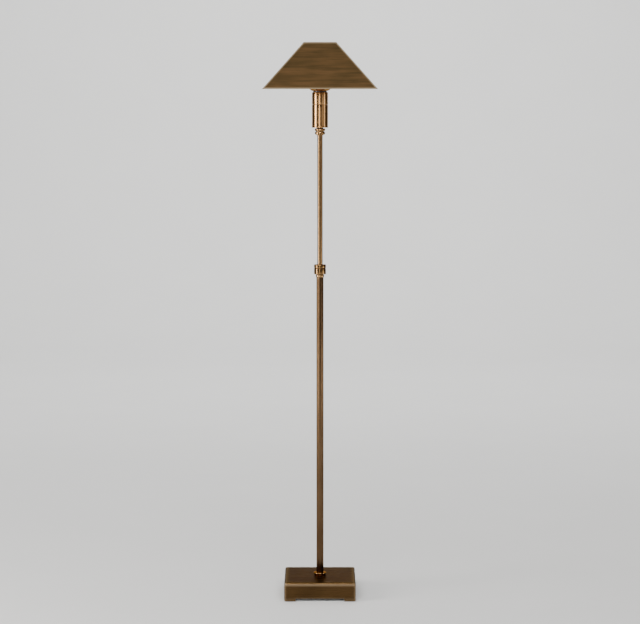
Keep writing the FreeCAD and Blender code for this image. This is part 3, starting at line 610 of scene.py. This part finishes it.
clamp_nut = turned(
    "clamp_nut_turned",
    [
        (lock_neck + neck_gap, nut_foot, 0.1),
        (nut_radius, nut_foot, 1.2),
        (nut_radius, nut_top, 1.8),
        (mast_radius + mast_gap, nut_top, 0.3),
        (mast_radius + mast_gap, nut_top - nut_lip, 0.1),
        (lock_neck + neck_gap, nut_top - nut_recess, 0.1),
    ],
)
shown(clamp_nut, lock_look, "lock", "polished_brass", "clamp_nut")

raw = Look("raw_brass", metallic=1.0)
stain = raw.noise((90.0, 90.0, 60.0), 3.0)
raw.vary(
    base_color=raw.mix(stain, (0.36, 0.23, 0.10, 1.0), (0.56, 0.37, 0.17, 1.0)),
    roughness=0.30 + stain * 0.16,
)
dress(raw, "tube_plug", "clamp_collet", "screw_shell", "bulb_cap", "terminal_screws", "mast_nipple")
dress(raw, "shade_spider", "shade_top_wire", "shade_rim_wire")

nylon = Look("white_nylon", metallic=0.0)
haze = nylon.noise((200.0, 200.0, 200.0), 2.0)
nylon.vary(
    base_color=nylon.mix(haze, (0.66, 0.65, 0.61, 1.0), (0.76, 0.75, 0.71, 1.0)),
    roughness=0.42 + haze * 0.12,
)
dress(nylon, "guide_bush", "sleeve_bearing")


# ---------------------------------------------------------------- mast
# The thinner tube that slides in the pole, with a turned spool at its head: a
# flared foot, a bead, a narrow waist and a second bead under the cup.
mast_wall = 1.0
mast = turned(
    "mast_tube_drawn",
    [
        (mast_radius - mast_wall, mast_foot, 0.1),
        (mast_radius, mast_foot, 0.3),
        (mast_radius, mast_top, 0.1),
        (mast_radius - mast_wall, mast_top, 0.1),
    ],
)
# Painted shade: the mast's brass tones are set darker than the fittings'.
mast_look = polished_brass(
    "aged_brass_mast", (0.160, 0.092, 0.041, 1.0), (0.235, 0.143, 0.068, 1.0), 0.17
)
shown(mast, mast_look, "mast", "polished_brass", "mast_tube")

spool_radius, spool_foot, spool_top = levels("mast_spool")
spool_waist = 9.0
spool_seat = mast_radius + fit
flare_radius = 8.2
flare_top = spool_foot + 1.0
bead_foot = spool_foot + 2.0
lower_bead = spool_radius - 0.3
waist_foot = spool_foot + 8.4
waist_top = waist_foot + 1.2
spool = turned(
    "mast_spool_turned",
    [
        (spool_seat, spool_foot, 0.1),
        (flare_radius, spool_foot, 0.3),
        (flare_radius, flare_top, 0.4),
        (lower_bead, bead_foot, 0.8),
        (lower_bead, waist_foot, 2.6),
        (spool_waist, waist_foot, 0.2),
        (spool_waist, waist_top, 0.2),
        (spool_radius, waist_top, 2.6),
        (spool_radius, spool_top, 2.6),
        (spool_seat, spool_top, 0.1),
    ],
)
shown(spool, fitting_look, "mast", "polished_brass", "mast_spool")


# ---------------------------------------------------------------- cup and dimmer sleeve
# Two plain drawn cups with a hairline seam between them. The lower one is fixed on
# the mast, and the upper one turns to dim the lamp.
cup_radius, cup_foot, cup_top = levels("socket_cup")
cup_wall = 1.2
cup_bead = 0.5
cup_side = cup_radius - cup_bead
cup_hole = 5.2
cup_bead_top = cup_foot + 2.4
cup_side_foot = cup_foot + 2.9
cup = turned(
    "socket_cup_drawn",
    [
        (cup_hole, cup_foot, 0.1),
        (cup_radius, cup_foot, 0.8),
        (cup_radius, cup_bead_top, 0.4),
        (cup_side, cup_side_foot, 0.3),
        (cup_side, cup_top, 0.9),
        (cup_side - cup_wall, cup_top, 0.1),
        (cup_side - cup_wall, cup_foot + cup_wall, 0.3),
        (cup_hole, cup_foot + cup_wall, 0.1),
    ],
)
# Painted light: the cup's and sleeve's brass tones are set brightest of all.
cup_look = polished_brass(
    "aged_brass_cup", (0.37, 0.190, 0.072, 1.0), (0.55, 0.312, 0.134, 1.0), 0.20
)
shown(cup, cup_look, "mast", "polished_brass", "socket_cup")

sleeve_radius, sleeve_foot, sleeve_top = levels("dimmer_sleeve")
sleeve_hole = 16.55
sleeve = turned(
    "dimmer_sleeve_drawn",
    [
        (sleeve_radius - cup_wall, sleeve_foot, 0.1),
        (sleeve_radius, sleeve_foot, 0.9),
        (sleeve_radius, sleeve_top, 0.8),
        (sleeve_hole, sleeve_top, 0.2),
        (sleeve_hole, sleeve_top - cup_wall, 0.1),
        (sleeve_radius - cup_wall, sleeve_top - cup_wall, 0.3),
    ],
)
shown(sleeve, cup_look, "dimmer", "polished_brass", "dimmer_sleeve")


# ---------------------------------------------------------------- shade seat and bulb
# A shallow spun dish and a threaded ring carry the shade's spider; a frosted globe
# bulb screws into the lampholder above them.
dress(fitting_look, "shade_dish", "shade_ring_nut")

frost = Look("frosted_glass", metallic=0.0)
milk = frost.noise((150.0, 150.0, 150.0), 2.0)
frost.vary(
    base_color=frost.mix(milk, (0.80, 0.79, 0.76, 1.0), (0.86, 0.85, 0.83, 1.0)),
    roughness=0.34 + milk * 0.10,
)
dress(frost, "bulb_glass")


# ---------------------------------------------------------------- shade
# A square pyramid of brushed sheet brass, open above and below. Its four panels are
# mitred and soldered, and painted paler along the seams and the two rims, partly as
# rubbed wear and partly as painted highlight.
shade_low = min(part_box("shade_panel_front")[0].z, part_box("shade_panel_left")[0].z)
shade_high = max(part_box("shade_panel_front")[1].z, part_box("shade_panel_left")[1].z)
shade_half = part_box("shade_panel_right")[1].x
shade_top_half = 38.0 * MM
shade_sheet = 1.4 * MM
shade_corner = 1.3 * MM

shade_stations = np.linspace(-1.0, 1.0, 41)
seam_stations = np.array([0.965, 0.98, 0.99])
shade_stations = np.sort(np.concatenate([shade_stations, -seam_stations, seam_stations]))
shade_rise = shade_high - shade_low
shade_lean = math.hypot(shade_half - shade_top_half, shade_rise) / shade_rise
shade_inset = shade_sheet * shade_lean
least_corner = 0.4 * MM
short_of_corner = 0.999
wear_and_sheen_band = 2.0 * MM
shade_rows = []
shade_wear_and_sheen = []


def shade_row(share, inset):
    """One level ring: half-side goes evenly from the foot to the top, less the inset."""
    half = shade_half + (shade_top_half - shade_half) * share - inset
    corner = max(shade_corner - inset * 0.5, least_corner)
    ring = square_ring(half, corner, shade_stations * (half - corner) * short_of_corner)
    level = shade_low + shade_rise * share
    shade_rows.append(np.concatenate([ring, np.full((len(ring), 1), level)], 1))
    off_seam = half - np.minimum(np.abs(ring[:, 0]), np.abs(ring[:, 1]))
    off_rim = min(share, 1 - share) * shade_rise
    # Pale bands along the seams and rims: partly rubbed wear, partly painted highlight.
    seam_wear_and_sheen = np.clip(2.2 - off_seam / wear_and_sheen_band, 0, 1)
    rim_wear_and_sheen = min(max(2.0 - off_rim / wear_and_sheen_band, 0.0), 1.0)
    shade_wear_and_sheen.append(np.maximum(seam_wear_and_sheen, rim_wear_and_sheen))


rim_step = 0.018
outer_shares = np.concatenate([[0.0, rim_step], np.linspace(2 * rim_step, 1 - 2 * rim_step, 24)])
for share in np.concatenate([outer_shares, [1 - rim_step, 1.0]]):
    shade_row(share, 0.0)
for share in np.concatenate([[1.0, 1 - rim_step], np.linspace(0.95, 0.05, 12), [rim_step, 0.0]]):
    shade_row(share, shade_inset)

shade = surface("shade_skin", np.stack(shade_rows))
add_wear_and_sheen(shade, np.stack(shade_wear_and_sheen))

shade_look = Look("brushed_brass_shade", metallic=1.0, specular_tint=(0.55, 0.46, 0.34, 1.0))
cloud = shade_look.noise((11.0, 11.0, 22.0), 3.0)
patch = shade_look.noise((5.0, 5.0, 60.0), 3.0)
streak = shade_look.noise((16.0, 16.0, 240.0), 2.0, 0.5)
rubbed_and_sheen = shade_look.wear_and_sheen_amount()
clouding = cloud.between(0.34, 0.66) * 0.3
banding = patch.between(0.3, 0.7) * 0.3
tone = clouding + banding + streak.between(0.32, 0.68) * 0.4
skin = shade_look.mix(tone, (0.118, 0.082, 0.034, 1.0), (0.250, 0.142, 0.062, 1.0))
# Marked seams and rims turn pale: partly rubbed wear, partly painted highlight.
shade_look.vary(
    base_color=shade_look.mix(rubbed_and_sheen * 0.8, skin, (0.80, 0.61, 0.38, 1.0)),
    roughness=0.36 + streak * 0.12 - rubbed_and_sheen * 0.08,
)
shade_look.bump(streak, 0.000008)
panels = ("shade_panel_front", "shade_panel_right", "shade_panel_back", "shade_panel_left")
shown(shade, shade_look, "shade", "brushed_brass", *panels)
